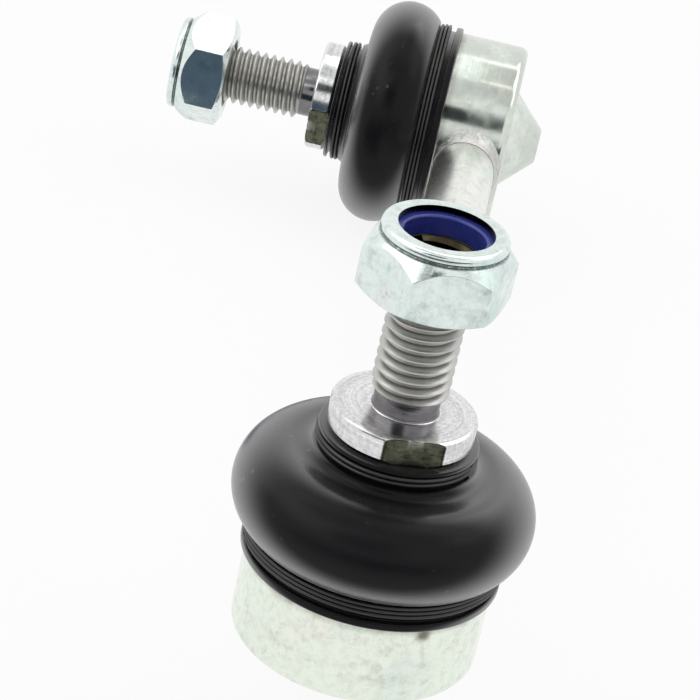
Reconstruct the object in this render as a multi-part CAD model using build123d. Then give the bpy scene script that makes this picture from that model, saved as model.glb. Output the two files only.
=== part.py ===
from build123d import *
import math
import os

# Stabiliser link: the rod that ties one end of an anti-roll bar to the suspension.
# It has a ball joint at each end, with the two studs at a right angle to each other.
#
# Frame: the origin is the middle of the face on which the near stud is clamped.
# +Z runs out along the near stud, +X along the rod to the far joint, and the far
# stud points along +Y. Both ends are the same ball joint, so it is modelled once,
# round its own ball centre with its stud along +Z and the rod leaving along +X.

# Link and rod
link_length = 157.0        # ball centre to ball centre
rod_radius = 5.2
rod_rise = 0.9             # rod above the ball centre, at the middle of the housing's wall
weld_leg = 2.2             # how far the weld bead reaches along the rod
weld_rise = 1.3            # and how far it stands out from it

# Clearances
running_gap = 0.05         # ball in its seat, nut on its stud
fit_gap = 0.05             # pieces pressed or laid together
swing_gap = 0.3            # leaning stud to the mouths of seat and housing
skirt_gap = 0.4            # ball to the cap's cone, room for the seat's thin skirt

# Ball stud
ball_radius = 8.0
ball_foot_radius = 2.6     # small flat left at the bottom of the ball
neck_radius = 4.7          # thinnest place, just above the ball
neck_straight = 0.9        # short straight before the taper
land_step = 2.5            # land that the boot grips, over the neck
cone_swing = 25.5          # the most that the stud leans in any direction
flat_across = 17.0         # two wrench flats on the collar
flat_depth = 0.8           # how far the collar stands out over its flats
collar_height = 3.5
collar_chamfer = 0.5
thread_radius = 4.95       # M10 x 1.5, its ridges are left to the finish
thread_length = 17.45
thread_chamfer = 1.0
undercut_depth = 0.75
undercut_height = 2.25

# Lock nut
nut_across = 17.0
nut_height = 9.5
nut_grip = 4.2             # thread that the nut is run on to, as delivered
nut_face_height = 7.4      # to the top of the flats, at their middle
nut_shoulder_slope = 1.25  # drop over run of the cone above the flats
nut_foot_slope = 0.58      # the same for the 30 degree chamfer below them
nut_foot_step = 0.5        # how far the nut's foot is inside its flats
crown_step = 0.55          # the same for its crown
crown_round = 0.9
lip_thickness = 0.9
lip_reach = 0.9            # how far the rolled lip covers the nylon ring
insert_wall = 1.7
insert_height = 2.6
insert_gap = 0.1

# Seat and housing
seat_wall = 3.4
seat_rise = 5.1            # ball centre to the top of the seat
seat_drop = 3.4            # ball centre to the face that the cap closes
grease_slots = 6
slot_width = 1.5
slot_depth = 0.7
grease_hole_step = 2.0     # hole in the seat's foot, outside the flat on the ball
housing_wall = 4.5
shoulder_step = 1.25       # seat's top to the foot of the boot
housing_round = 1.4
groove_depth = 1.8
groove_height = 3.95
flange_height = 0.9
flange_reach = 0.8

# Closing cap
cap_thickness = 1.2
cap_bite = 1.5             # how far the cap's edge goes into the housing's wall
rim_bite = 0.8             # how far the rolled rim covers that edge
rim_height = 0.8
dome_slope = 45.0          # of the cone, in degrees from level
dome_tip_step = 0.3        # cone's flat tip outside the ball's foot

# Dust boot and its two wound rings
boot_wall = 1.4
foot_wall = 1.65
foot_lip_height = 1.15
foot_lip_reach = 0.85
bulge_radius = 6.15
bulge_inset = 1.75         # middle of the bulge inside the housing's flange
bulge_rise = 5.1           # and above its groove
neck_wall = 2.95
neck_step = 0.65           # valley between the bulge and the neck
neck_height = 3.1
land_overlap = 2.2         # land below the boot's neck
base_wire = 0.87
base_turns = 3
neck_wire = 1.0
neck_turns = 2

# Lean of each end's flats and hexagon about its own stud, in degrees
flats_turn = {"a": 16.0, "b": -18.0}
nut_turn = {"a": 16.0, "b": 9.0}

# Sizes that follow from those above, up and down from the ball centre
seat_radius = ball_radius + running_gap + seat_wall
bore_radius = seat_radius + fit_gap
housing_radius = bore_radius + housing_wall
housing_shoulder = seat_rise + shoulder_step
groove_radius = housing_radius - groove_depth
groove_top = housing_shoulder + groove_height
flange_radius = groove_radius + flange_reach
flange_top = groove_top + flange_height
cap_radius = bore_radius + cap_bite
cap_bottom = -seat_drop - cap_thickness
housing_bottom = cap_bottom - rim_height
ball_foot = -math.sqrt(ball_radius**2 - ball_foot_radius**2)
grease_hole_radius = ball_foot_radius + grease_hole_step
dome_tip_radius = ball_foot_radius + dome_tip_step


def cone_radius(height, wall):
    """Radius, at a height, of a cone that lies a wall's thickness outside the ball."""
    slope = math.radians(dome_slope)
    return ((ball_radius + wall) + height * math.cos(slope)) / math.sin(slope)


def cone_height(radius, wall):
    """The height at which the same cone has a given radius."""
    slope = math.radians(dome_slope)
    return (radius * math.sin(slope) - (ball_radius + wall)) / math.cos(slope)


dome_radius = cone_radius(cap_bottom, skirt_gap + cap_thickness)
dome_tip = cone_height(dome_tip_radius, skirt_gap + cap_thickness)
dome_floor = dome_tip + cap_thickness

foot_radius = groove_radius + fit_gap + foot_wall
foot_bottom = housing_shoulder + fit_gap
lip_top = foot_bottom + foot_lip_height
bulge_middle_radius = flange_radius - bulge_inset
bulge_middle_height = groove_top + bulge_rise
neck_bottom = bulge_middle_height + bulge_radius + neck_step
base_ring_radius = foot_radius + fit_gap + base_wire / 2

collar_bottom = neck_bottom + neck_height
collar_radius = flat_across / 2 + flat_depth
seat_height = collar_bottom + collar_height
undercut_radius = thread_radius - undercut_depth
stud_top = seat_height + undercut_height + thread_length
land_bottom = neck_bottom - land_overlap
land_radius = neck_radius + land_step
neck_foot = math.sqrt(ball_radius**2 - neck_radius**2)
taper = math.atan2(land_step, land_bottom - neck_foot - neck_straight)
neck_outer = land_radius + fit_gap + neck_wall
neck_ring_radius = neck_outer - neck_wire * 0.35
neck_ring_height = neck_bottom + neck_height / 2 - 0.1

nut_bottom = stud_top - nut_grip
nut_bore = thread_radius + running_gap
nut_foot_radius = nut_across / 2 - nut_foot_step
crown_radius = nut_across / 2 - crown_step
pocket_radius = nut_bore + insert_wall + fit_gap
crown_hole_radius = pocket_radius - lip_reach


def turned(points):
    """A solid of revolution about the stud's axis from a closed line of (radius, height)."""
    profile = make_face(Plane.XZ * Polyline(*points, close=True))
    return revolve(profile, Axis.Z, 360)


def ring_between(inner, outer, low, high):
    """A plain ring between two radii and two heights."""
    return turned([(inner, low), (outer, low), (outer, high), (inner, high)])


def disc(radius, low, high):
    """A plain disc from one height to another."""
    return Pos(0, 0, (low + high) / 2) * Cylinder(radius, high - low)


def mouth_radius(height, gap):
    """Radius, at a height, of the cone that the leaning stud's neck sweeps, with a gap added."""
    half_angle = math.radians(cone_swing) + taper
    reach = neck_radius * math.cos(taper) - (neck_foot + neck_straight) * math.sin(taper)
    return height * math.tan(half_angle) + (reach + gap) / math.cos(half_angle)


def mouth_cone(low, high, gap):
    """The swept cone itself, as a tool that opens the seat and the housing."""
    height = high - low
    cone = Cone(mouth_radius(low, gap), mouth_radius(high, gap), height)
    return Pos(0, 0, (low + high) / 2) * cone


def make_ball_stud(end):
    """Ball, neck, taper, boot land, wrench collar, undercut and thread blank in one forging."""
    shank_low = seat_height + undercut_height
    chamfer = collar_chamfer
    shank = turned([
        (0, 0),
        (neck_radius, neck_foot - 0.3),
        (neck_radius, neck_foot + neck_straight),
        (land_radius, land_bottom),
        (land_radius, collar_bottom),
        (collar_radius - chamfer, collar_bottom),
        (collar_radius, collar_bottom + chamfer),
        (collar_radius, seat_height - chamfer),
        (collar_radius - chamfer, seat_height),
        (undercut_radius, seat_height),
        (undercut_radius, shank_low),
        (thread_radius, shank_low + thread_radius - undercut_radius),
        (thread_radius, stud_top - thread_chamfer),
        (thread_radius - thread_chamfer, stud_top),
        (0, stud_top),
    ])
    ball = Sphere(ball_radius) & disc(ball_radius + 1, ball_foot, ball_radius)
    stud = ball + shank
    for side in (0, 180):
        cutter = Box(collar_radius, 3 * collar_radius, collar_height)
        place = Pos((flat_across + collar_radius) / 2, 0, collar_bottom + collar_height / 2)
        stud -= Rot(0, 0, flats_turn[end] + side) * place * cutter
    return stud


def make_lock_nut(end):
    """Hexagon with a cone above and a chamfer below, and a crown with a rolled-in lip."""
    flat = nut_across / 2
    corner = flat / math.cos(math.radians(30))
    face_top = nut_bottom + nut_face_height
    shoulder = face_top + (flat - crown_radius) * nut_shoulder_slope
    face_low = nut_bottom + (corner - nut_foot_radius) * nut_foot_slope
    top = nut_bottom + nut_height
    hexagon = extrude(RegularPolygon(flat, 6, major_radius=False), nut_height)
    hexagon = Pos(0, 0, nut_bottom) * Rot(0, 0, nut_turn[end] + 30) * hexagon
    envelope = turned([
        (0, nut_bottom),
        (nut_foot_radius, nut_bottom),
        (corner, face_low),
        (corner, face_top - (corner - flat) * nut_shoulder_slope),
        (crown_radius, shoulder),
        (0, shoulder),
    ])
    crown = disc(crown_radius, shoulder - 1, top)
    crown = fillet(crown.edges().group_by(Axis.Z)[-1], crown_round)
    pocket_top = top - lip_thickness
    pocket_low = pocket_top - insert_height - insert_gap
    nut = (hexagon & envelope) + crown
    nut -= disc(nut_bore, nut_bottom - 1, top + 1)
    nut -= disc(pocket_radius, pocket_low, pocket_top)
    nut -= disc(crown_hole_radius, pocket_low, top + 1)
    entry = Cone(nut_bore + 0.8, nut_bore, 0.8)
    return nut - Pos(0, 0, nut_bottom + 0.4) * entry


def make_nut_insert():
    """The nylon ring in the nut's pocket, with a small lead-in at its top."""
    low = nut_bottom + nut_height - lip_thickness - insert_height - insert_gap / 2
    high = low + insert_height
    inner = nut_bore
    outer = inner + insert_wall
    lead = insert_wall / 4
    return turned([
        (inner, low),
        (outer, low),
        (outer, high),
        (inner + lead, high),
        (inner, high - lead),
    ])


def housing_outline():
    """The housing's outside as a full solid: rolled rim below, groove and flange above."""
    outside = turned([
        (0, housing_bottom),
        (housing_radius, housing_bottom),
        (housing_radius, housing_shoulder),
        (groove_radius, housing_shoulder),
        (groove_radius, groove_top),
        (flange_radius, groove_top),
        (flange_radius, flange_top),
        (0, flange_top),
    ])
    return fillet(outside.edges().group_by(Axis.Z)[0], housing_round)


def make_housing():
    """Turned cup: rim rolled over the cap, seat bore, and the mouth that the stud sweeps."""
    shoulder = seat_rise + fit_gap
    housing = housing_outline() - disc(cap_radius - rim_bite, housing_bottom - 1, -seat_drop)
    housing -= disc(cap_radius + fit_gap, cap_bottom - fit_gap, -seat_drop)
    housing -= disc(bore_radius, -seat_drop - 1, shoulder)
    return housing - mouth_cone(shoulder - 0.01, flange_top + 0.01, swing_gap + fit_gap)


def make_closing_cap():
    """Pressed cap: a flat edge held by the rolled rim, and a cone with a flat tip."""
    cap = turned([
        (0, dome_tip),
        (dome_tip_radius, dome_tip),
        (dome_radius, cap_bottom),
        (cap_radius, cap_bottom),
        (cap_radius, -seat_drop),
        (cone_radius(-seat_drop, skirt_gap), -seat_drop),
        (cone_radius(dome_floor, skirt_gap), dome_floor),
        (0, dome_floor),
    ])
    tip_edge = cap.edges().group_by(Axis.Z)[0].sort_by(SortBy.RADIUS)[-1]
    return fillet(tip_edge, 0.8)


def make_ball_seat():
    """Plastic cup that wraps the ball, with grease slots, an open foot and the swept mouth."""
    low = dome_floor + 2 * fit_gap
    high = -seat_drop + fit_gap
    seat = turned([
        (0, low),
        (cone_radius(low, skirt_gap - fit_gap), low),
        (cone_radius(high, skirt_gap - fit_gap), high),
        (seat_radius, high),
        (seat_radius, seat_rise),
        (0, seat_rise),
    ])
    seat -= Sphere(ball_radius + running_gap)
    seat -= mouth_cone(0, seat_rise + 0.01, swing_gap)
    seat -= disc(grease_hole_radius, low - 1, 0)
    reach = 2 * (ball_radius + slot_depth)
    slot = disc(reach / 2, -seat_drop / 2, seat_rise / 2) & Box(reach, slot_width, reach)
    for turn in range(grease_slots // 2):
        seat -= Rot(0, 0, 360 / grease_slots * turn) * slot
    return seat


def bulge_point(angle, radius):
    """A point of the boot's bulge at an angle from level, on a circle of a given radius."""
    turn = math.radians(angle)
    across = bulge_middle_radius + radius * math.cos(turn)
    return across, bulge_middle_height + radius * math.sin(turn)


def make_dust_boot():
    """Rubber bellows of one bulge: lipped foot in the housing's groove, neck on the stud."""
    hollow = bulge_radius - boot_wall
    reach = (groove_top + 0.2 - bulge_middle_height) / bulge_radius
    start = math.degrees(math.asin(max(-0.95, reach)))
    inner_start = math.degrees(math.acos(min(0.95, (flange_radius + 0.05 - bulge_middle_radius) / hollow)))
    neck_inner = land_radius + fit_gap
    foot_inner = groove_radius + fit_gap
    over_flange = flange_radius + 0.05
    outer_arc = [bulge_point(a, bulge_radius) for a in (start, 10, 98)]
    inner_arc = [bulge_point(a, hollow) for a in (90, 0, -inner_start)]
    top = collar_bottom - 0.1
    outline = [
        Polyline((foot_inner, foot_bottom), (foot_radius + foot_lip_reach, foot_bottom),
                 (foot_radius + foot_lip_reach, lip_top), (foot_radius, lip_top),
                 (foot_radius, groove_top + 0.1), outer_arc[0]),
        ThreePointArc(*outer_arc),
        Polyline(outer_arc[2], (neck_outer, neck_bottom), (neck_outer, top), (neck_inner, top),
                 (neck_inner, neck_bottom - boot_wall), inner_arc[0]),
        ThreePointArc(*inner_arc),
        Polyline(inner_arc[2], (over_flange, groove_top - fit_gap),
                 (foot_inner, groove_top - fit_gap), (foot_inner, foot_bottom)),
    ]
    boot = revolve(make_face(Plane.XZ * Wire(sum((list(o.edges()) for o in outline), []))), Axis.Z, 360)
    low = neck_ring_height - neck_wire * neck_turns / 2 - fit_gap
    high = neck_ring_height + neck_wire * neck_turns / 2 + fit_gap
    depth = neck_ring_radius - neck_wire / 2 - fit_gap
    return boot - ring_between(depth, neck_outer + 1, low, high)


def make_wound_ring(radius, height, wire, turns):
    """A clamping ring wound from round wire, its turns lying on each other."""
    pitch = wire * 0.96
    first = height - pitch * (turns - 1) / 2
    section = Circle(wire / 2)
    profile = None
    for turn in range(turns):
        coil = Pos(radius, 0, first + pitch * turn) * Rot(90, 0, 0) * section
        profile = coil if profile is None else profile + coil
    return revolve(profile, Axis.Z, 360)


def rod_line():
    """Where the rod starts and points. Each housing holds it a little above its ball, and the
    two housings lie at a right angle, so its line leans by a third of a degree."""
    return Plane(origin=(0, 0, rod_rise), z_dir=(link_length, rod_rise, -rod_rise)).location


def make_weld():
    """Fillet of weld round the rod where it meets the housing's wall."""
    reach = housing_radius + weld_leg
    start = math.sqrt(housing_radius**2 - (rod_radius + weld_rise) ** 2)
    bead = Cone(rod_radius + weld_rise, rod_radius + 0.1, reach - start)
    bead = rod_line() * Pos(0, 0, (reach + start) / 2) * bead
    bead &= disc(2 * reach, housing_bottom + 0.2, housing_shoulder - 0.2)
    bead -= rod_line() * Cylinder(rod_radius + 0.02, 4 * reach)
    return bead - housing_outline()


def make_rod():
    """Plain round rod between the two housings, its ends shaped to sit on their walls."""
    rod = rod_line() * Pos(0, 0, link_length / 2) * Cylinder(rod_radius, link_length)
    return rod - housing_outline() - far_end() * housing_outline()


def far_end():
    """Where the far joint sits when the near one is at the origin."""
    return Plane(origin=(link_length, 0, 0), x_dir=(-1, 0, 0), z_dir=(0, 1, 0)).location


def make_end(end):
    """All the pieces of one ball joint, round its ball centre."""
    base_height = lip_top + (groove_top + 0.15 - lip_top) / 2
    return {
        f"housing_{end}": make_housing(),
        f"closing_cap_{end}": make_closing_cap(),
        f"ball_seat_{end}": make_ball_seat(),
        f"ball_stud_{end}": make_ball_stud(end),
        f"dust_boot_{end}": make_dust_boot(),
        f"boot_base_ring_{end}": make_wound_ring(base_ring_radius, base_height, base_wire, base_turns),
        f"boot_neck_ring_{end}": make_wound_ring(neck_ring_radius, neck_ring_height, neck_wire, neck_turns),
        f"lock_nut_{end}": make_lock_nut(end),
        f"nut_insert_{end}": make_nut_insert(),
        f"rod_weld_{end}": make_weld(),
    }


def place_all():
    """Every piece in the part's frame."""
    near = Location((0, 0, -seat_height))
    pieces = {"link_rod": near * make_rod()}
    for end, place in (("a", near), ("b", near * far_end())):
        for name, solid in make_end(end).items():
            pieces[name] = place * solid
    return pieces


os.makedirs("parts", exist_ok=True)
for name, solid in place_all().items():
    export_step(solid, f"parts/{name}.step")
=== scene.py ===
# %% [markdown]
# # A stabiliser link, made to look real
# A stabiliser link ties the end of a car's anti-roll bar to its suspension. It is a short rod
# with a ball joint at each end, and each joint has a threaded stud with a lock nut on it.
# The plain shapes come from the CAD model. In this lesson each visible piece gets the shape
# and the finish that the real one has: cut threads, wound wire rings, moulded rubber, plating.

# %% Load the frame
import math

import bpy
from mathutils import Matrix, Vector


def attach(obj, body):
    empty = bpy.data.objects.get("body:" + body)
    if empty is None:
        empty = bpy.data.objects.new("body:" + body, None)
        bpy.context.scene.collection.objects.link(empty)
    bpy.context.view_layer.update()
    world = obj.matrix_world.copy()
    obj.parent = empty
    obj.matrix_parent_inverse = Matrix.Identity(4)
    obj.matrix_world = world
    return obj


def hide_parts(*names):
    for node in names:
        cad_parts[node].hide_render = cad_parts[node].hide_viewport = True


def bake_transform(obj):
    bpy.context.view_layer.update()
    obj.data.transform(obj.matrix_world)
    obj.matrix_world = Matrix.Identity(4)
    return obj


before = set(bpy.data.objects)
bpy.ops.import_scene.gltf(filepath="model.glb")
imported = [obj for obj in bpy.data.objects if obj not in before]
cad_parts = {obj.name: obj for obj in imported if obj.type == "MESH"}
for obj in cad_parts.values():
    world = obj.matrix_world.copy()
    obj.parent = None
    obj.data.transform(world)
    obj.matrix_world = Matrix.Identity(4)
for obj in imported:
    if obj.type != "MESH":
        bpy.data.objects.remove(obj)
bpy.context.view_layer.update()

# %% [markdown]
# ## Two joints, one drawing
# Both ends of the link are the same ball joint. Each piece is modelled once, at the near
# end, where the stud stands along +Z and the origin is the middle of the collar's face. A
# copy is then carried to the far end by one matrix, which lays the stud along +Y.
# Sizes are written in millimetres above the centre of the ball, as on a workshop drawing.

# %% Places and sizes
BALL_DEPTH = 28.8
LINK_LENGTH = 157.0
to_ball = Matrix.Translation((0.0, 0.0, -BALL_DEPTH / 1000))
far_axes = Matrix(((-1, 0, 0, 0), (0, 0, 1, 0), (0, 1, 0, 0), (0, 0, 0, 1)))
far_ball = Matrix.Translation((LINK_LENGTH / 1000, 0.0, -BALL_DEPTH / 1000))
far_end = far_ball @ far_axes @ to_ball.inverted()
ends = {"a": Matrix.Identity(4), "b": far_end}


def mm(value):
    """Millimetres as metres."""
    return value / 1000


def above(height):
    """A height over the ball's centre, in millimetres, as a height in the frame."""
    return (height - BALL_DEPTH) / 1000


def at_end(end, height):
    """The point of an end's stud axis at a height over its ball."""
    return tuple(ends[end] @ Vector((0.0, 0.0, above(height))))


print("near clamping face", at_end("a", BALL_DEPTH), "far", at_end("b", BALL_DEPTH))

# %% [markdown]
# ## A lathe made of three operators
# Most of these pieces are turned or moulded round an axis. On a lathe a tool follows a
# profile. Here a circle is the first station of the profile, and each next station is the
# same circle extruded, moved and resized. A list of stations is (radius, height) pairs.
# Everything is deselected first, because operators work on all that is selected.

# %% Selecting and turning
def only(piece):
    """Makes one object the only selected and active one."""
    bpy.ops.object.select_all(action="DESELECT")
    piece.select_set(True)
    bpy.context.view_layer.objects.active = piece


def ring_of(radius, height, sides=128):
    """A plain circle of edges at a radius and a height, ready to be extruded."""
    bpy.ops.object.select_all(action="DESELECT")
    bpy.ops.mesh.primitive_circle_add(vertices=sides, radius=mm(radius),
                                      location=(0, 0, above(height)))
    bpy.ops.object.transform_apply(location=True, rotation=True, scale=True)
    return bpy.context.object


def follow(stations, start):
    """Extrudes the selected circle from station to station."""
    radius, height = start
    for next_radius, next_height in stations:
        rise = (0, 0, mm(next_height - height))
        bpy.ops.mesh.extrude_region_move(TRANSFORM_OT_translate={"value": rise})
        if abs(next_radius - radius) > 1e-6:
            factor = next_radius / radius
            bpy.ops.transform.resize(value=(factor, factor, 1), center_override=(0, 0, 0))
        radius, height = next_radius, next_height


def turn_solid(name, stations, sides=128):
    """A turned solid: the first and the last station are closed by flat faces."""
    piece = ring_of(*stations[0], sides)
    bpy.ops.object.mode_set(mode="EDIT")
    bpy.ops.mesh.select_all(action="SELECT")
    bpy.ops.mesh.edge_face_add()
    follow(stations[1:], stations[0])
    tidy(piece, name)
    return piece


def turn_ring(name, stations, sides=128):
    """A turned ring: the last station is bridged back to the first."""
    piece = ring_of(*stations[0], sides)
    bpy.ops.object.mode_set(mode="EDIT")
    bpy.ops.mesh.select_all(action="SELECT")
    follow(stations[1:], stations[0])
    bpy.ops.mesh.select_all(action="DESELECT")
    bpy.ops.mesh.select_mode(type="EDGE")
    bpy.ops.mesh.select_non_manifold()
    bpy.ops.mesh.bridge_edge_loops()
    tidy(piece, name)
    return piece


def tidy(piece, name, angle=32):
    """Points all faces outwards, smooths them by angle and names the piece."""
    if bpy.context.mode != "EDIT_MESH":
        only(piece)
        bpy.ops.object.mode_set(mode="EDIT")
    bpy.ops.mesh.select_all(action="SELECT")
    bpy.ops.mesh.normals_make_consistent(inside=False)
    bpy.ops.object.mode_set(mode="OBJECT")
    only(piece)
    bpy.ops.object.shade_smooth_by_angle(angle=math.radians(angle))
    piece.name = name
    piece.data.name = name


def arc(centre, radius, first, last, steps):
    """Stations along an arc of the profile, from one angle to another in degrees from level."""
    stations = []
    for step in range(steps + 1):
        turn = math.radians(first + (last - first) * step / steps)
        stations.append((centre[0] + radius * math.cos(turn), centre[1] + radius * math.sin(turn)))
    return stations


print("lathe ready")

# %% [markdown]
# ## Copies, joins and cuts
# A piece that repeats is modelled once and copied with its own mesh. The copy is turned
# about the stud if it has to be, carried to its end, and its place is applied to the mesh,
# so every finished object sits at the origin, unturned and unscaled.

# %% Copying, joining and cutting
def copy_of(piece, name, lean=0.0, end="a"):
    """A copy with its own mesh, leaned about the stud's axis and carried to an end."""
    twin = piece.copy()
    twin.data = piece.data.copy()
    twin.name = name
    twin.data.name = name
    bpy.context.collection.objects.link(twin)
    twin.matrix_world = ends[end] @ Matrix.Rotation(math.radians(lean), 4, "Z")
    only(twin)
    bpy.ops.object.transform_apply(location=True, rotation=True, scale=True)
    return twin


def join(pieces, name):
    """Joins several closed shells into one object."""
    only(pieces[0])
    for other in pieces[1:]:
        other.select_set(True)
    bpy.ops.object.join()
    pieces[0].name = name
    pieces[0].data.name = name
    return pieces[0]


def combine(piece, tool, how):
    """Applies a boolean modifier with a tool piece, which is then deleted."""
    only(piece)
    cut = piece.modifiers.new("cut", "BOOLEAN")
    cut.operation = how
    cut.solver = "EXACT"
    cut.object = tool
    bpy.ops.object.modifier_apply(modifier=cut.name)
    delete(tool)


def delete(piece):
    """Removes a master or a tool that is no longer needed."""
    bpy.data.objects.remove(piece, do_unlink=True)


def soften(piece, width, angle=28, segments=2):
    """Breaks the sharp edges with a small bevel, as a die or a deburring wheel does."""
    only(piece)
    bevel = piece.modifiers.new("soften", "BEVEL")
    bevel.width = mm(width)
    bevel.segments = segments
    bevel.limit_method = "ANGLE"
    bevel.angle_limit = math.radians(angle)
    bevel.use_clamp_overlap = True
    bpy.ops.object.modifier_apply(modifier=bevel.name)


def weigh(piece):
    """Lets the large faces set the normals, so flats stay flat and only their edges are soft."""
    only(piece)
    weights = piece.modifiers.new("weigh", "WEIGHTED_NORMAL")
    weights.mode = "FACE_AREA"
    weights.weight = 90
    weights.keep_sharp = True
    bpy.ops.object.modifier_apply(modifier=weights.name)


print("copying and cutting ready")

# %% [markdown]
# ## Winding wire and threads
# A spring ring is wire wound on a mandrel, and a thread is a ridge wound the same way. A
# small section is drawn beside the axis and the Screw modifier winds it up. Both ends of
# the winding are then filled, so the piece is a closed solid.

# %% Winding
def section(points):
    """A closed section beside the axis from (radius, height) points, by squashing a circle."""
    bpy.ops.object.select_all(action="DESELECT")
    bpy.ops.mesh.primitive_circle_add(vertices=len(points), radius=mm(1))
    piece = bpy.context.object
    for vertex, (radius, height) in zip(piece.data.vertices, points):
        vertex.co = (mm(radius), 0.0, above(height))
    return piece


def wind(name, points, turns, pitch, start=0.0, steps=72):
    """Winds a section up the stud's axis and closes both of its ends."""
    piece = section(points)
    only(piece)
    screw = piece.modifiers.new("winding", "SCREW")
    screw.axis = "Z"
    screw.angle = math.radians(360 * turns)
    screw.screw_offset = mm(pitch * turns)
    screw.steps = int(steps * turns)
    screw.render_steps = int(steps * turns)
    screw.use_merge_vertices = False
    bpy.ops.object.modifier_apply(modifier=screw.name)
    bpy.ops.object.mode_set(mode="EDIT")
    bpy.ops.mesh.select_all(action="DESELECT")
    bpy.ops.mesh.select_mode(type="EDGE")
    bpy.ops.mesh.select_non_manifold()
    bpy.ops.mesh.fill_holes(sides=0)
    bpy.ops.mesh.select_all(action="SELECT")
    bpy.ops.transform.rotate(value=-math.radians(start), orient_axis="Z", center_override=(0, 0, 0))
    tidy(piece, name, 40)
    return piece


def oval(radius, height, half_out, half_up, sides=16):
    """Points of an oval wire section."""
    points = []
    for side in range(sides):
        turn = 2 * math.pi * side / sides
        points.append((radius + half_out * math.cos(turn), height + half_up * math.sin(turn)))
    return points


print("winding ready")

# %% [markdown]
# ## The camera
# The photograph looks almost along the rod, a little from above, with a long lens. The
# camera's place and axes were worked out from points that can be recognised on the part:
# the collar, the nuts' corners, the rims of both joints.

# %% Camera
lens = bpy.data.cameras.new("photo_camera")
FOCAL_LENGTH, SENSOR_WIDTH = 157.37, 36.0
lens.lens = FOCAL_LENGTH
lens.sensor_width = SENSOR_WIDTH
lens.clip_start = 0.01
camera = bpy.data.objects.new("photo_camera", lens)
bpy.context.collection.objects.link(camera)
right = Vector((0.13288, -0.97221, 0.19272))
up = Vector((0.44404, 0.23224, 0.86539))
back = right.cross(up).normalized()
place = Matrix((right, up, back)).transposed().to_4x4()
place.translation = (-0.33306, -0.00286, 0.17971)
camera.matrix_world = place
bpy.context.scene.camera = camera
print("camera looks along", tuple(round(-v, 3) for v in back))

# %% [markdown]
# ## The ball stud
# The stud is forged and turned in one piece: a ball, a waisted neck, a plain land that the
# rubber grips, a collar with two wrench flats, a short undercut and an M10 thread. Only the
# collar and the thread can be seen, but the rest is modelled too, because the joint moves.

# %% Turn the stud's core
LAND = 7.2
COLLAR_LOW, COLLAR_TOP = 25.3, 28.8
THREAD_LOW, STUD_TOP = 31.05, 48.5
ROOT, CREST, PITCH = 4.08, 4.95, 1.5

core_stations = [(1.2, -6.95), (2.6, -7.46)] + arc((0, 0), 7.9, -70, 53.5, 36)
core_stations += [(4.68, 7.4), (LAND, 20.1), (LAND, 25.4), (4.65, 25.8), (4.65, 28.7)]
core_stations += arc((4.65, 29.2), 0.45, 270, 180, 5)
core_stations += [(4.2, THREAD_LOW), (ROOT, THREAD_LOW + 0.3), (ROOT, STUD_TOP - 0.35)]
core_stations += [(3.75, STUD_TOP), (1.6, STUD_TOP), (0.35, STUD_TOP - 0.9)]
stud_core = turn_solid("stud_core", core_stations, 96)
print("core faces", len(stud_core.data.polygons))

# %% [markdown]
# The thread ridge is a blunt triangle of 60 degrees, wound at 1.5 mm a turn. At its foot the
# real thread runs out on a short cone and at the tip it meets a chamfer. That is an
# intersection with a turned blank, so the ridge fades in and out as a cut thread does.

# %% Wind the thread
ridge = [(ROOT - 0.25, -0.66), (ROOT, -0.60), (CREST - 0.02, -0.11), (CREST, -0.09),
         (CREST, 0.09), (CREST - 0.02, 0.11), (ROOT, 0.60), (ROOT - 0.25, 0.66)]
first_turn = THREAD_LOW - 0.2
thread_points = [(radius, height + first_turn) for radius, height in ridge]
thread_turns = (STUD_TOP - first_turn + 0.7) / PITCH
thread = wind("thread", thread_points, thread_turns, PITCH, 0.0, 64)
blank_stations = [(2.5, 30.6), (4.2, 30.95), (CREST + 0.02, 31.8), (CREST + 0.02, STUD_TOP - 0.95)]
blank_stations += [(3.95, STUD_TOP - 0.02), (2.5, STUD_TOP - 0.02)]
blank = turn_ring("blank", blank_stations, 96)
combine(thread, blank, "INTERSECT")
tidy(thread, "thread", 22)
print("thread turns", round(thread_turns, 2), "faces", len(thread.data.polygons))

# %% [markdown]
# The collar is turned as a disc, and its two wrench flats are planes that cut it. Bisect
# with fill does this: one plane a side, 17 mm apart. Small bevels catch the light, and the
# top face keeps the rings that the turning tool left.

# %% Turn the collar and cut its flats
RIM, BORE, FLAT_OUT = 9.3, 3.4, 8.5
collar_stations = [(BORE, COLLAR_LOW), (8.8, COLLAR_LOW), (RIM, COLLAR_LOW + 0.5)]
collar_stations += [(RIM, COLLAR_TOP - 0.45), (9.2, COLLAR_TOP - 0.2), (8.95, COLLAR_TOP - 0.03)]
collar_stations += [(8.7, COLLAR_TOP), (8.5, COLLAR_TOP), (BORE, COLLAR_TOP)]
collar = turn_ring("collar", collar_stations, 128)
for side in (1, -1):
    only(collar)
    bpy.ops.object.mode_set(mode="EDIT")
    bpy.ops.mesh.select_all(action="SELECT")
    bpy.ops.mesh.bisect(plane_co=(side * mm(FLAT_OUT), 0, 0), plane_no=(side, 0, 0),
                        use_fill=True, clear_outer=True)
    bpy.ops.object.mode_set(mode="OBJECT")
soften(collar, 0.12, 50)
tidy(collar, "collar", 60)
weigh(collar)
print("collar faces", len(collar.data.polygons))

# %% [markdown]
# The two studs are taken to be the same part. The core, the thread and the collar are
# therefore copied for each end and joined. Only the turn of the wrench flats differs, since a
# stud can stand at any angle in its socket. Linked copies would share one mesh and could not
# have their places applied, so each copy gets its own.

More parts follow.
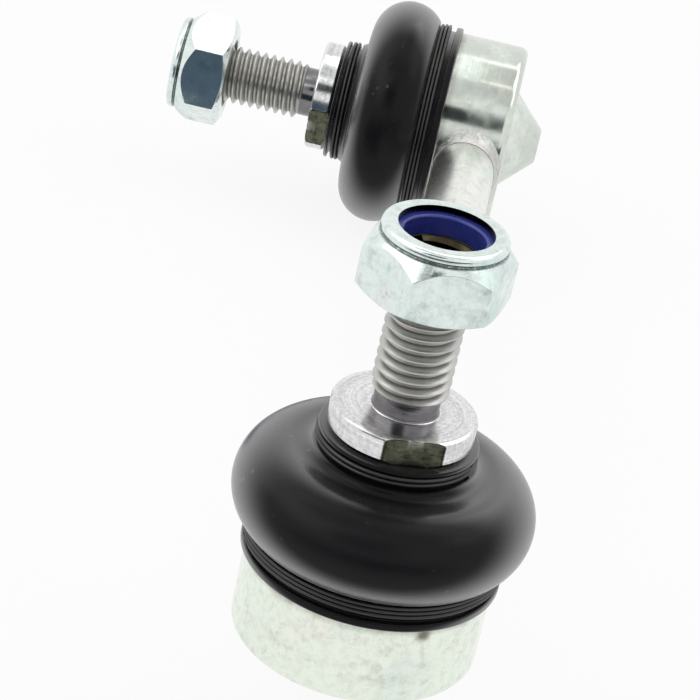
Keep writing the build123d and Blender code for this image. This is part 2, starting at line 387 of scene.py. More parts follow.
# %% Two studs from one set of parts
FLATS_LEAN = {"a": 16.0, "b": -18.0}
studs = {}
for end in ends:
    parts = [copy_of(stud_core, "stud_core_" + end, 0.0, end),
             copy_of(thread, "stud_thread_" + end, 0.0, end),
             copy_of(collar, "stud_collar_" + end, FLATS_LEAN[end], end)]
    studs[end] = join(parts, "threaded_stud_" + end)
    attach(studs[end], "stud_" + end)
    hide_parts("ball_stud_" + end)
for master in (stud_core, thread, collar):
    delete(master)
print("studs", [piece.name for piece in studs.values()])

# %% [markdown]
# ## The lock nut
# The nut starts as a hexagon bar, 17 mm across its flats. A lathe cuts the chamfer below,
# the cone above and the crown, whose lip is rolled in over a nylon ring. In Blender the bar
# and the turned blank are two solids, and what they have in common is the nut. The curved
# edges on the flats come by themselves from the cone that meets them.

# %% Bar and blank of the nut
NUT_LOW, NUT_TOP = 44.3, 53.8
CROWN = 7.95
ACROSS_FLATS = 17
BAR_LENGTH, BAR_MIDDLE = 14, 49
bpy.ops.object.select_all(action="DESELECT")
bpy.ops.mesh.primitive_cylinder_add(vertices=6, radius=mm(ACROSS_FLATS / 2 / math.cos(math.pi / 6)),
                                    depth=mm(BAR_LENGTH), location=(0, 0, above(BAR_MIDDLE)))
bpy.ops.object.transform_apply(location=True, rotation=True, scale=True)
nut_bar = bpy.context.object

lip_round = arc((CROWN - 0.75, NUT_TOP - 0.75), 0.75, 0, 90, 7)
hole_round = arc((6.08, NUT_TOP - 0.15), 0.15, 90, 180, 4)
nut_stations = [(5.8, NUT_LOW), (8.0, NUT_LOW), (9.85, 45.35), (9.85, 50.02), (CROWN + 0.12, 52.2)]
nut_stations += [(CROWN - 0.2, 52.36), (CROWN - 0.24, 52.5), (CROWN - 0.2, 52.62), (CROWN, 52.78)]
nut_stations += lip_round + hole_round
nut_stations += [(5.93, 53.05), (6.75, 53.0), (6.75, 50.25), (5.0, 50.2), (5.0, 45.1)]
nut_body = turn_ring("nut_body", nut_stations, 144)
combine(nut_body, nut_bar, "INTERSECT")
soften(nut_body, 0.13, 24)
tidy(nut_body, "nut_body", 55)
weigh(nut_body)
print("nut faces", len(nut_body.data.polygons))

# %% [markdown]
# The nut has its own thread. Its ridges lie in the grooves of the stud's thread, half a
# pitch away and a tenth of a millimetre clear, so the nut can be run up and down for real.

# %% Thread inside the nut
inner = [(5.06, -0.56), (4.28, -0.11), (4.22, -0.05), (4.22, 0.05), (4.28, 0.11), (5.06, 0.56)]
turns_below = math.ceil((NUT_LOW - first_turn) / PITCH) + 0.5
inner_low = first_turn + turns_below * PITCH + PITCH / 2
inner_thread = wind("inner_thread", [(r, z + inner_low) for r, z in inner], 2.6, PITCH, 180.0, 64)
print("nut thread from", round(inner_low, 2))

# %% [markdown]
# The ring in the crown is what locks the nut: plain nylon, a little tighter than the bolt.
# It is turned with a rounded inner edge, because that edge is what shows in the hole.

# %% Nylon ring
ring_stations = [(5.0, 50.3), (6.65, 50.3), (6.7, 50.35), (6.7, 52.8), (6.6, 52.87), (5.4, 52.87)]
ring_stations += arc((5.35, 52.52), 0.35, 80, 180, 8)[1:] + [(5.0, 51.8)]
nylon_ring = turn_ring("nylon_ring", ring_stations, 128)
print("nylon faces", len(nylon_ring.data.polygons))

# %% [markdown]
# A nut stops at any angle, so each has a turn of its own. The near one's was read from the
# photograph, and the far one's was also chosen so that its face shines as dark as there. The
# inner thread is not turned with the outside, because its ridges must stay in the stud's
# grooves. The nylon is a pressed-in part, so it stays a piece of its own.

# %% Two nuts and two nylon rings
NUT_LEAN = {"a": 16.0, "b": 9.0}
nuts, nylons = {}, {}
for end in ends:
    body = copy_of(nut_body, "nut_body_" + end, NUT_LEAN[end], end)
    threads = copy_of(inner_thread, "nut_thread_" + end, 0.0, end)
    nuts[end] = join([body, threads], "hex_nut_" + end)
    nylons[end] = copy_of(nylon_ring, "nylon_ring_" + end, 0.0, end)
    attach(nuts[end], "nut_" + end)
    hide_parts("lock_nut_" + end)
    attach(nylons[end], "insert_" + end)
    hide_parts("nut_insert_" + end)
for master in (nut_body, inner_thread, nylon_ring):
    delete(master)
print("nuts", [piece.name for piece in nuts.values()])

# %% [markdown]
# ## The rubber boot
# The boot keeps grease in and water out. It is one moulded skin with a lipped foot, one
# fat bulge and a thick neck. When the stud leans, its foot stays with the housing and its
# neck goes with the stud. The lean is made of two turns, so the skin is made in two
# halves that meet a little under the widest place. A meeting line higher up was tried, and it
# folded the leaning side to a sharper brim. Two very thin strips at the meeting line keep the
# shading of the halves alike.

# %% Stations of the boot
BULGE = (13.25, 15.4)
SKIN_OUT, SKIN_IN = 6.14, 4.75
foot = [(14.25, 6.42), (16.45, 6.42)]
foot += arc((16.5, 6.67), 0.25, -70, 0, 3) + arc((16.5, 7.3), 0.25, 0, 90, 3)
foot += [(15.95, 7.56), (15.9, 7.64), (15.9, 10.3), (16.3, 10.42)]
SEAM = 13.4
SEAM_OUT, SEAM_IN = 19.055, 17.558
low_out = arc(BULGE, SKIN_OUT, -51, -19.6, 16) + [(SEAM_OUT, SEAM)]
low_in = [(SEAM_IN, SEAM)] + arc(BULGE, SKIN_IN, -25.5, -66, 12)
low_in += [(15.05, 10.9), (15.05, 10.3), (14.25, 10.25), (14.25, 8.5)]
boot_low = turn_ring("boot_low", foot + low_out + low_in, 176)

high_out = [(SEAM_OUT, SEAM)] + arc(BULGE, SKIN_OUT, -18.4, 93, 42)
valley = [(12.25, 21.5), (11.55, 21.52), (10.95, 21.66), (10.5, 21.95), (10.25, 22.35), (10.2, 22.55)]
neck = [(10.05, 22.62), (9.3, 22.7), (9.3, 24.6), (10.05, 24.68), (10.2, 24.76), (10.2, 25.0)]
neck += arc((10.0, 25.0), 0.2, 0, 90, 3)[1:] + [(7.45, 25.2), (7.25, 25.0), (7.25, 22.1), (8.3, 20.9)]
high_in = arc(BULGE, SKIN_IN, 95, -24.3, 26) + [(SEAM_IN, SEAM)]
boot_high = turn_ring("boot_high", high_out + valley + neck + high_in, 176)
print("boot faces", len(boot_low.data.polygons), len(boot_high.data.polygons))

# %% [markdown]
# Both boots look like one moulding. One leaned shape could be modelled by hand, but the boot
# has to bend in every pose, so it is made of two halves. This has a price: at the full lean the
# skin on the folded side is squeezed to a pointed brim and the inner skin comes through the
# outer one. A real boot would bulge outwards instead.

# %% Two boots, each in two halves
boots = {}
for end in ends:
    low = copy_of(boot_low, "boot_foot_half_" + end, 0.0, end)
    high = copy_of(boot_high, "boot_neck_half_" + end, 0.0, end)
    boots[end] = [low, high]
    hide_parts("dust_boot_" + end)
    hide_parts("dust_boot_" + end)
    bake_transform(low)
    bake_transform(high)
for master in (boot_low, boot_high):
    delete(master)
print("boots", [piece.name for pair in boots.values() for piece in pair])

# %% [markdown]
# ## The wound rings
# Two springs of black wire hold the boot: a wide one round its foot and a small one round
# its neck. They are wound like key rings, from slightly flattened wire. The ends of the wide
# one overlap in front, so three fine lines show there, and two behind.

# %% Wind the rings
base_wire = wind("base_wire", oval(16.42, 8.5, 0.5, 0.31), 2.45, 0.62, 109.0, 120)
neck_wire = wind("neck_wire", oval(9.86, 22.98, 0.49, 0.325), 2.0, 0.65, 250.0, 96)
WIRE_LEAN = {"a": 0.0, "b": -167.0}
wires = []
for end in ends:
    low = copy_of(base_wire, "foot_ring_" + end, WIRE_LEAN[end], end)
    high = copy_of(neck_wire, "neck_ring_" + end, 0.0, end)
    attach(low, "link")
    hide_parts("boot_base_ring_" + end)
    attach(high, "neck_" + end)
    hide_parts("boot_neck_ring_" + end)
    wires += [low, high]
for master in (base_wire, neck_wire):
    delete(master)
print("rings", [piece.name for piece in wires])

# %% [markdown]
# ## How a finish is put together
# Each finish is a small net of nodes. Effects that several finishes share, such as the
# cloudy look of plating, turning lines and dust, are node groups with named inputs. Their
# patterns are laid out round the near joint's stud. A Mapping node brings the far joint's
# points to the same place, so both ends are finished alike.

# %% Node helpers
def group(name, inputs, outputs):
    """A new shader group with named sockets."""
    net = bpy.data.node_groups.new(name, "ShaderNodeTree")
    for label, kind, value in inputs:
        socket = net.interface.new_socket(name=label, in_out="INPUT", socket_type=kind)
        if value is not None:
            socket.default_value = value
    for label, kind in outputs:
        net.interface.new_socket(name=label, in_out="OUTPUT", socket_type=kind)
    return net, net.nodes.new("NodeGroupInput"), net.nodes.new("NodeGroupOutput")


def add(net, kind, **settings):
    """A node with its settings and its unlinked inputs filled in."""
    node = net.nodes.new(kind)
    for key, value in settings.items():
        if key.startswith("in_"):
            node.inputs[int(key[3:])].default_value = value
        else:
            setattr(node, key, value)
    return node


def link(net, source, target):
    """A link from one socket to another."""
    net.links.new(source, target)


def math_node(net, how, first, second, clamp=False):
    """A Math node fed by sockets or numbers."""
    node = add(net, "ShaderNodeMath", operation=how, use_clamp=clamp)
    for socket, value in zip(node.inputs, (first, second)):
        if isinstance(value, (int, float)):
            socket.default_value = value
        else:
            link(net, value, socket)
    return node.outputs[0]


def ramp(net, source, low, high, low_value=0.0, high_value=1.0):
    """Stretches a range of values to another one."""
    node = add(net, "ShaderNodeMapRange", in_1=low, in_2=high, in_3=low_value, in_4=high_value)
    node.interpolation_type = "SMOOTHSTEP"
    link(net, source, node.inputs[0])
    return node.outputs[0]


def noise(net, vector, scale, detail=3.0, rough=0.5, seed=0.0):
    """Noise with a seed of its own."""
    node = add(net, "ShaderNodeTexNoise", noise_dimensions="4D")
    node.inputs["W"].default_value = seed
    node.inputs["Scale"].default_value = scale
    node.inputs["Detail"].default_value = detail
    node.inputs["Roughness"].default_value = rough
    link(net, vector, node.inputs["Vector"])
    return node.outputs[0]


def mix(net, factor, first, second):
    """Mixes two colours by a mask."""
    node = add(net, "ShaderNodeMix", data_type="RGBA")
    for index, value in ((0, factor), (6, first), (7, second)):
        if isinstance(value, (int, float, tuple)):
            node.inputs[index].default_value = value
        else:
            link(net, value, node.inputs[index])
    return node.outputs[2]


def split(net, vector):
    """The three parts of a vector."""
    parts = add(net, "ShaderNodeSeparateXYZ")
    link(net, vector, parts.inputs[0])
    return parts.outputs


def reach(net, parts):
    """The distance from the stud's axis."""
    squares = [math_node(net, "MULTIPLY", part, part) for part in (parts[0], parts[1])]
    return math_node(net, "SQRT", math_node(net, "ADD", *squares), 0.0)


def new_look(name):
    """An empty material and its net of nodes."""
    look = bpy.data.materials.new(name)
    look.use_nodes = True
    return look, look.node_tree


print("node helpers ready")

# %% [markdown]
# Bright zinc plating is never one grey. The bath leaves soft clouds of a slightly cooler
# and a slightly warmer white, and a thin passivation gives them a breath of green and pink.
# The clouds come from three noises of different sizes.

# %% Shared effect: clouds of plating
clouds, source, sink = group("plating_clouds", [
    ("Vector", "NodeSocketVector", None),
    ("Silver", "NodeSocketColor", (0.80, 0.81, 0.80, 1)),
    ("Cool", "NodeSocketColor", (0.66, 0.76, 0.73, 1)),
    ("Warm", "NodeSocketColor", (0.80, 0.72, 0.74, 1)),
    ("Stain", "NodeSocketColor", (0.42, 0.42, 0.38, 1)),
], [("Color", "NodeSocketColor"), ("Mask", "NodeSocketFloat")])
spot = source.outputs
cool = ramp(clouds, noise(clouds, spot["Vector"], 95, 3, 0.55, 1.0), 0.46, 0.72)
warm = ramp(clouds, noise(clouds, spot["Vector"], 140, 3, 0.6, 4.0), 0.52, 0.78)
fine = noise(clouds, spot["Vector"], 900, 4, 0.65, 7.0)
stain = ramp(clouds, noise(clouds, spot["Vector"], 420, 4, 0.7, 9.0), 0.50, 0.72)
tint = mix(clouds, cool, spot["Silver"], spot["Cool"])
tint = mix(clouds, warm, tint, spot["Warm"])
tint = mix(clouds, math_node(clouds, "MULTIPLY", stain, 0.55), tint, spot["Stain"])
tint = mix(clouds, ramp(clouds, fine, 0.42, 0.66, 0.0, 0.22), tint, spot["Stain"])
link(clouds, tint, sink.inputs["Color"])
halves = [math_node(clouds, "MULTIPLY", part, 0.5) for part in (cool, fine)]
link(clouds, math_node(clouds, "ADD", *halves), sink.inputs["Mask"])
print("group", clouds.name)

# %% [markdown]
# A turning tool leaves fine lines round the piece. Seen along the stud's axis they are
# rings, and on a side wall they are level lines. Noise whose space is stretched round
# the axis gives both: it changes fast with height and radius, and slowly round the piece.

# %% Shared effect: turning lines
lines, source, sink = group("turning_lines", [
    ("Vector", "NodeSocketVector", None), ("Lines", "NodeSocketFloat", 2600.0),
], [("Height", "NodeSocketFloat")])
parts = split(lines, source.outputs["Vector"])
density = source.outputs["Lines"]
angle = math_node(lines, "ARCTAN2", parts[1], parts[0])
join_axis = add(lines, "ShaderNodeCombineXYZ")
link(lines, math_node(lines, "MULTIPLY", reach(lines, parts), density), join_axis.inputs[0])
link(lines, math_node(lines, "MULTIPLY", parts[2], density), join_axis.inputs[1])
link(lines, math_node(lines, "MULTIPLY", angle, 0.35), join_axis.inputs[2])
link(lines, noise(lines, join_axis.outputs[0], 1.0, 3, 0.6, 2.0), sink.inputs["Height"])
print("group", lines.name)

# %% [markdown]
# Dust and small pale specks lie on the rubber and dull the metal. Cells of a Voronoi
# texture with a small radius give round specks, and a noise keeps them to some places only.

# %% Shared effect: specks
specks, source, sink = group("specks", [
    ("Vector", "NodeSocketVector", None), ("Size", "NodeSocketFloat", 420.0),
], [("Mask", "NodeSocketFloat")])
cells = add(specks, "ShaderNodeTexVoronoi", feature="F1")
link(specks, source.outputs["Vector"], cells.inputs["Vector"])
link(specks, source.outputs["Size"], cells.inputs["Scale"])
dots = ramp(specks, cells.outputs["Distance"], 0.20, 0.08)
where = ramp(specks, noise(specks, source.outputs["Vector"], 230, 2, 0.5, 12.0), 0.54, 0.66)
link(specks, math_node(specks, "MULTIPLY", dots, where), sink.inputs["Mask"])
print("group", specks.name)

# %% [markdown]
# Every finish starts alike, with a Principled shader and points laid out round the near
# stud. Each end could have its nodes written out, but then each change would be made twice.
# A helper that is told the end keeps the two alike.

# %% A new material and its usual nodes
def finish(name, end):
    """A material with a Principled shader and a vector laid out round the near stud."""
    look, net = new_look(name + "_" + end)
    shader = net.nodes["Principled BSDF"]
    place = add(net, "ShaderNodeTexCoord")
    centre = add(net, "ShaderNodeMapping", vector_type="POINT")
    bring = ends[end].inverted()
    centre.inputs["Location"].default_value = bring.translation
    centre.inputs["Rotation"].default_value = bring.to_euler()
    link(net, place.outputs["Object"], centre.inputs["Vector"])
    return look, net, shader, centre.outputs[0]


def use(net, shared, vector, **values):
    """Places a shared effect with its own values."""
    node = add(net, "ShaderNodeGroup", node_tree=shared)
    link(net, vector, node.inputs["Vector"])
    for key, value in values.items():
        node.inputs[key].default_value = value
    return node.outputs


def bump(net, shader, height, depth, strength=1.0):
    """Feeds a height in metres to the shader's normal."""
    node = add(net, "ShaderNodeBump")
    node.inputs["Strength"].default_value = strength
    node.inputs["Distance"].default_value = depth
    link(net, height, node.inputs["Height"])
    link(net, node.outputs[0], shader.inputs["Normal"])


def set_shader(shader, **values):
    """Sets the shader's own sockets."""
    for key, value in values.items():
        shader.inputs[key.replace("_", " ")].default_value = value


def paint(piece, look):
    """Makes a material the only one of a piece."""
    piece.data.materials.clear()
    piece.data.materials.append(look)


print("finish helpers ready")

# %% [markdown]
# ## Zinc on the housings, caps, rod and welds
# All the steel of the body is plated together. The metal is bright and pale, its gloss
# changes with the clouds, and the turned housings keep level tool lines. Both ends are taken
# to be plated alike. The far end still has a darker silver here, which is painted shade: its
# tones in the photograph are darker and the lamps alone did not give them. The housings also
# get painted shade just under the boot's foot.

# %% Bright zinc
def height_mask(net, vector, low, high):
    """0 at one height over the ball and 1 at another, both in millimetres."""
    return ramp(net, split(net, vector)[2], above(low), above(high))


BRIGHT = (0.83, 0.89, 0.79, 1)
SHADE_UNDER_BOOT, DARK_SPOT_TONE = (0.16, 0.15, 0.11, 1), (0.20, 0.185, 0.15, 1)
DARK_SPOT_AT = (mm(-13.42), mm(-8.71), above(5.5))


def zinc(name, end, lines_per_metre, depth, rough=(0.13, 0.27), silver=BRIGHT, shade_and_spot=False):
    """Bright plating with tool lines, and if asked with painted shade under the boot's foot and one
    small dark spot.
    """
    look, net, shader, vector = finish(name, end)
    cloud = use(net, clouds, vector, Silver=silver, Cool=(0.76, 0.84, 0.78, 1),
                Warm=(0.86, 0.84, 0.76, 1), Stain=(0.50, 0.51, 0.42, 1))
    line = use(net, lines, vector, Lines=lines_per_metre)
    grain = noise(net, vector, 3800, 3, 0.6, 5.0)
    colour = cloud["Color"]
    if shade_and_spot:
        wander = ramp(net, noise(net, vector, 420, 4, 0.6, 11.0), 0.3, 0.75, 0.25, 0.8)
        # Painted shade: the housing is darkened just under the boot's foot.
        edge = math_node(net, "MULTIPLY", height_mask(net, vector, 5.0, 6.3), wander)
        colour = mix(net, edge, colour, SHADE_UNDER_BOOT)
    if shade_and_spot and end == "a":
        # A small dark spot on the near housing, just below the boot's foot.
        run = add(net, "ShaderNodeVectorMath", operation="DISTANCE")
        link(net, vector, run.inputs[0])
        run.inputs[1].default_value = DARK_SPOT_AT
        dark_spot_reach = math_node(net, "ADD", run.outputs["Value"], math_node(net, "MULTIPLY", wander, 0.0009))
        colour = mix(net, ramp(net, dark_spot_reach, mm(1.9), mm(0.6)), colour, DARK_SPOT_TONE)
    set_shader(shader, Metallic=1.0)
    link(net, colour, shader.inputs["Base Color"])
    link(net, ramp(net, cloud["Mask"], 0.15, 0.75, rough[0], rough[1]), shader.inputs["Roughness"])
    height = math_node(net, "ADD", line["Height"], math_node(net, "MULTIPLY", grain, 0.35))
    bump(net, shader, height, depth, 0.6)
    return look


def dress(node_name, look):
    """Gives a node of the frame a new material in every slot."""
    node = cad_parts[node_name]
    for slot in node.material_slots:
        slot.material = look


# Painted shade: the far end's housing and cap get a darker silver.
END_TONE_WITH_FAR_SHADE = {"a": BRIGHT, "b": (0.63, 0.67, 0.62, 1)}
for end in ends:
    tone = END_TONE_WITH_FAR_SHADE[end]
    dress("housing_" + end, zinc("zinc_housing", end, 1900.0, 0.000016, silver=tone, shade_and_spot=True))
    dress("closing_cap_" + end, zinc("zinc_cap", end, 1500.0, 0.000014, (0.20, 0.36), tone))
print("zinc on housings and caps")

# %% [markdown]
# The rod is plain round bar, plated but less glossy than the turned cups, so its roughness
# is higher. A weld bead is darker and rippled. Its ripples could be modelled, but most of
# each bead is hidden, so a bump made from noise is enough.

# %% Rod and welds
rod_zinc = zinc("zinc_rod", "a", 700.0, 0.00002, (0.27, 0.42), (0.87, 0.87, 0.85, 1))
dress("link_rod", rod_zinc)
for end in ends:
    look, net, shader, vector = finish("weld_metal", end)
    cloud = use(net, clouds, vector, Silver=(0.62, 0.62, 0.60, 1), Stain=(0.20, 0.18, 0.16, 1))
    ripple = noise(net, vector, 1100, 3, 0.5, 6.0)
    set_shader(shader, Metallic=1.0)
    link(net, cloud["Color"], shader.inputs["Base Color"])
    link(net, ramp(net, ripple, 0.3, 0.7, 0.32, 0.6), shader.inputs["Roughness"])
    bump(net, shader, ripple, 0.00025, 0.8)
    dress("rod_weld_" + end, look)
print("zinc on rod and welds")

# %% [markdown]
# ## Plastic seat
# The seat is hidden between ball and housing. It is pale moulded plastic, a little waxy.

# %% Seat plastic
for end in ends:
    look, net, shader, vector = finish("seat_plastic", end)
    cloud = noise(net, vector, 260, 3, 0.5, 3.0)
    set_shader(shader, Metallic=0.0)
    link(net, mix(net, cloud, (0.62, 0.60, 0.54, 1), (0.74, 0.72, 0.66, 1)), shader.inputs["Base Color"])
    link(net, ramp(net, cloud, 0.3, 0.7, 0.35, 0.5), shader.inputs["Roughness"])
    bump(net, shader, noise(net, vector, 2600, 3, 0.6, 8.0), 0.00001, 0.5)
    dress("ball_seat_" + end, look)
print("seat plastic")

# %% [markdown]
# ## Stud steel
# The stud is machined steel with a thin coat. The roots of the thread are painted darker
# than its crests, as painted shade in the grooves, so the colour follows the distance from the
# axis. The two wrench flats are rougher and painted dark, as painted reflection of the dark
# boot below them, and a mask picks them out by place.

# %% Stud steel
def radius_mask(net, vector, low, high):
    """0 at one radius from the stud's axis and 1 at another, both in millimetres."""
    return ramp(net, reach(net, split(net, vector)), mm(low), mm(high))


def flat_mask(net, vector, lean, low, high):
    """0 to 1 with the distance from the middle plane between the two wrench flats."""
    parts, turn = split(net, vector), math.radians(lean)
    across = math_node(net, "ADD", math_node(net, "MULTIPLY", parts[0], math.cos(turn)),
                       math_node(net, "MULTIPLY", parts[1], math.sin(turn)))
    return ramp(net, math_node(net, "ABSOLUTE", across, 0.0), mm(low), mm(high))


for end in ends:
    look, net, shader, vector = finish("stud_steel", end)
    cloud = use(net, clouds, vector, Silver=(0.72, 0.72, 0.71, 1), Cool=(0.60, 0.62, 0.61, 1),
                Warm=(0.66, 0.61, 0.62, 1), Stain=(0.30, 0.29, 0.25, 1))
    line = use(net, lines, vector, Lines=2600.0)
    crest = radius_mask(net, vector, 4.15, 4.60)
    mottle = noise(net, vector, 700, 3, 0.6, 2.0)
    # Painted shade: the thread's roots are darker than its crests.
    shaded_root = mix(net, mottle, (0.31, 0.30, 0.27, 1), (0.47, 0.46, 0.43, 1))
    ridge_tone = mix(net, mottle, (0.44, 0.44, 0.42, 1), (0.60, 0.60, 0.585, 1))
    shank = mix(net, mottle, (0.13, 0.125, 0.13, 1), (0.26, 0.25, 0.26, 1))
    streaks = ramp(net, line["Height"], 0.35, 0.65)
    patches = ramp(net, mottle, 0.35, 0.65)
    # Painted reflection: the wrench flats are painted dark, standing in for the dark boot they reflect.
    flats_painted_dark = mix(net, patches, (0.030, 0.033, 0.022, 1), (0.12, 0.125, 0.085, 1))
    thin_streaks = math_node(net, "MULTIPLY", streaks, 0.35)
    flats_painted_dark = mix(net, thin_streaks, flats_painted_dark, (0.20, 0.21, 0.16, 1))
    threaded = mix(net, crest, shaded_root, ridge_tone)
    speckle = noise(net, vector, 1700, 3, 0.6, 3.0)
    cloudy = math_node(net, "ADD", math_node(net, "MULTIPLY", speckle, 0.5),
                       math_node(net, "MULTIPLY", line["Height"], 0.5))
    plate = mix(net, ramp(net, cloudy, 0.36, 0.64), (0.56, 0.56, 0.56, 1), (0.86, 0.86, 0.86, 1))
    colour = mix(net, height_mask(net, vector, 31.0, 31.3), shank, threaded)
    colour = mix(net, height_mask(net, vector, 28.84, 28.90), plate, colour)
    flats = flat_mask(net, vector, FLATS_LEAN[end], 8.42, 8.48)
    colour = mix(net, flats, colour, flats_painted_dark)
    # Painted shade: the stud's end inside the nut is near black.
    tip = height_mask(net, vector, 48.0, 48.3)
    colour = mix(net, tip, colour, (0.035, 0.028, 0.020, 1))
    set_shader(shader, Metallic=1.0)
    link(net, colour, shader.inputs["Base Color"])
    gloss = ramp(net, cloud["Mask"], 0.15, 0.8, 0.15, 0.28)
    dull = math_node(net, "ADD", math_node(net, "MULTIPLY", flats, 0.25),
                     math_node(net, "MULTIPLY", height_mask(net, vector, 30.9, 31.2), 0.16))
    link(net, math_node(net, "ADD", gloss, dull), shader.inputs["Roughness"])
    coarse = math_node(net, "MULTIPLY", math_node(net, "MULTIPLY", mottle, flats), 6.0)
    bump(net, shader, math_node(net, "ADD", line["Height"], coarse), 0.00002, 0.6)
    paint(studs[end], look)
print("stud steel")

# %% [markdown]
# ## Nut plating and nylon
# The nut is smoother than the forged parts and its passivation is greener, so its flats
# shine almost like mint glass. The nylon is dyed dark blue all through and shines a little.

# %% Nut plating
for end in ends:
    look, net, shader, vector = finish("zinc_nut", end)
    cloud = use(net, clouds, vector, Silver=(0.79, 0.87, 0.84, 1), Cool=(0.66, 0.81, 0.77, 1),
                Warm=(0.80, 0.80, 0.82, 1), Stain=(0.36, 0.43, 0.41, 1))
    grain = noise(net, vector, 2600, 4, 0.6, 3.0)
    oil = noise(net, vector, 900, 3, 0.6, 5.0)
    oil_and_lip_shade = mix(net, oil, (0.030, 0.016, 0.010, 1), (0.085, 0.078, 0.048, 1))
    # The oily inside of the nut, and near black painted shade on the hole's wall under the lip.
    lip_shade = height_mask(net, vector, 52.0, 52.6)
    oil_and_lip_shade = mix(net, lip_shade, oil_and_lip_shade, (0.006, 0.006, 0.008, 1))
    outside = radius_mask(net, vector, 5.96, 6.05)
    set_shader(shader, Metallic=1.0)
    # Painted shade: the groove under the crown is darkened in patches.
    groove = math_node(net, "MULTIPLY", height_mask(net, vector, 52.1, 52.35),
                       height_mask(net, vector, 52.85, 52.6))
    groove_shade = math_node(net, "MULTIPLY", groove, ramp(net, grain, 0.25, 0.6, 0.5, 0.95))
    skin = mix(net, groove_shade, cloud["Color"], (0.10, 0.12, 0.12, 1))
    link(net, mix(net, outside, oil_and_lip_shade, skin), shader.inputs["Base Color"])
    link(net, ramp(net, cloud["Mask"], 0.15, 0.75, 0.18, 0.38), shader.inputs["Roughness"])
    bump(net, shader, grain, 0.00002, 0.5)
    paint(nuts[end], look)
print("nut plating")

# %% [markdown]
# The locking ring is nylon, dyed all through. It is no metal: its colour is in the plastic
# and a weak clear shine lies over it. Two blues mixed by noise keep it from looking printed.

# %% Nylon
for end in ends:
    look, net, shader, vector = finish("nylon", end)
    cloud = noise(net, vector, 500, 3, 0.5, 6.0)
    set_shader(shader, Metallic=0.0, IOR=1.53)
    dye = mix(net, cloud, (0.026, 0.035, 0.22, 1), (0.044, 0.060, 0.33, 1))
    link(net, dye, shader.inputs["Base Color"])
    link(net, ramp(net, cloud, 0.3, 0.7, 0.22, 0.34), shader.inputs["Roughness"])
    bump(net, shader, noise(net, vector, 3000, 3, 0.6, 8.0), 0.00001, 0.4)
    paint(nylons[end], look)
print("nylon")

# %% [markdown]
# ## Rubber and black wire
# Moulded rubber is nearly black, with a soft sheen where wax has come to its surface.
# A fine grain breaks up the gloss and a few pale specks are dust. The rings are blackened
# spring wire, rubbed a little along the outer side.

# %% Boot rubber
for end in ends:
    look, net, shader, vector = finish("boot_rubber", end)
    bloom = ramp(net, noise(net, vector, 70, 4, 0.55, 2.0), 0.35, 0.75)
    dust = use(net, specks, vector, Size=520.0)["Mask"]
    base = mix(net, bloom, (0.004, 0.004, 0.0045, 1), (0.009, 0.008, 0.0095, 1))
    set_shader(shader, Metallic=0.0, IOR=1.5, Sheen_Weight=0.5, Sheen_Roughness=0.30,
               Sheen_Tint=(0.90, 0.86, 0.92, 1))
    glance = add(net, "ShaderNodeLayerWeight", in_0=0.5)
    shine = ramp(net, glance.outputs["Facing"], 0.24, 0.74, 0.14, 2.7)
    link(net, shine, shader.inputs["Specular IOR Level"])
    dusty = mix(net, math_node(net, "MULTIPLY", dust, 0.22), base, (0.30, 0.30, 0.29, 1))
    link(net, dusty, shader.inputs["Base Color"])
    link(net, ramp(net, bloom, 0.0, 1.0, 0.25, 0.37), shader.inputs["Roughness"])
    bump(net, shader, noise(net, vector, 2200, 4, 0.65, 4.0), 0.00003, 0.5)
    for half in boots[end]:
        paint(half, look)
print("boot rubber")

# %% [markdown]
# The wire is steel under a black coat. It could be shaded as a dark metal, but the coat is
# what is seen, so it is shaded as a coat, a little lighter in patches where it is rubbed.

# %% Black wire
for end in ends:
    look, net, shader, vector = finish("ring_wire", end)
    wear = noise(net, vector, 380, 4, 0.65, 5.0)
    set_shader(shader, Metallic=0.0, IOR=1.6)
    link(net, mix(net, ramp(net, wear, 0.55, 0.8), (0.006, 0.005, 0.004, 1), (0.036, 0.031, 0.025, 1)),
         shader.inputs["Base Color"])
    link(net, ramp(net, wear, 0.3, 0.7, 0.28, 0.45), shader.inputs["Roughness"])
    bump(net, shader, noise(net, vector, 4200, 3, 0.6, 1.0), 0.00001, 0.4)
    for ring in wires:
        if ring.name.endswith("_" + end):
            paint(ring, look)
print("black wire")

# %% [markdown]
# ## Floor, walls and light
# The photograph was taken on white. The floor is a white card just under the lowest rim,
# and it keeps a soft shadow. Metal shows what is round it, so what stands round the part
# matters: white on all sides, and a few dark and pale cards for the metal to show.

# %% World
def looked_at(net):
    """1 for rays that show a surface to the camera, directly or in a reflection."""
    rays = add(net, "ShaderNodeLightPath").outputs
    direct = math_node(net, "ADD", rays["Is Camera Ray"], rays["Is Glossy Ray"])
    return math_node(net, "ADD", direct, rays["Is Transmission Ray"], clamp=True)


bpy.context.scene.view_settings.view_transform = "Standard"
world = bpy.data.worlds.new("white_studio")
bpy.context.scene.world = world
world.use_nodes = True
net = world.node_tree
net.nodes.clear()
seen = looked_at(net)
fill = add(net, "ShaderNodeBackground", in_0=(0.95, 0.97, 1.0, 1), in_1=0.55)
white = add(net, "ShaderNodeBackground", in_0=(1, 1, 1, 1), in_1=1.0)
blend = add(net, "ShaderNodeMixShader")
out = add(net, "ShaderNodeOutputWorld")
link(net, seen, blend.inputs[0])
link(net, fill.outputs[0], blend.inputs[1])
link(net, white.outputs[0], blend.inputs[2])
link(net, blend.outputs[0], out.inputs[0])
print("world ready")

# %% [markdown]
# A photographer's table is a large white board. Here each board is a plane that is moved,
# sized and aimed. It is no piece of the part. A bit of noise in its colour keeps it from being
# perfectly even.

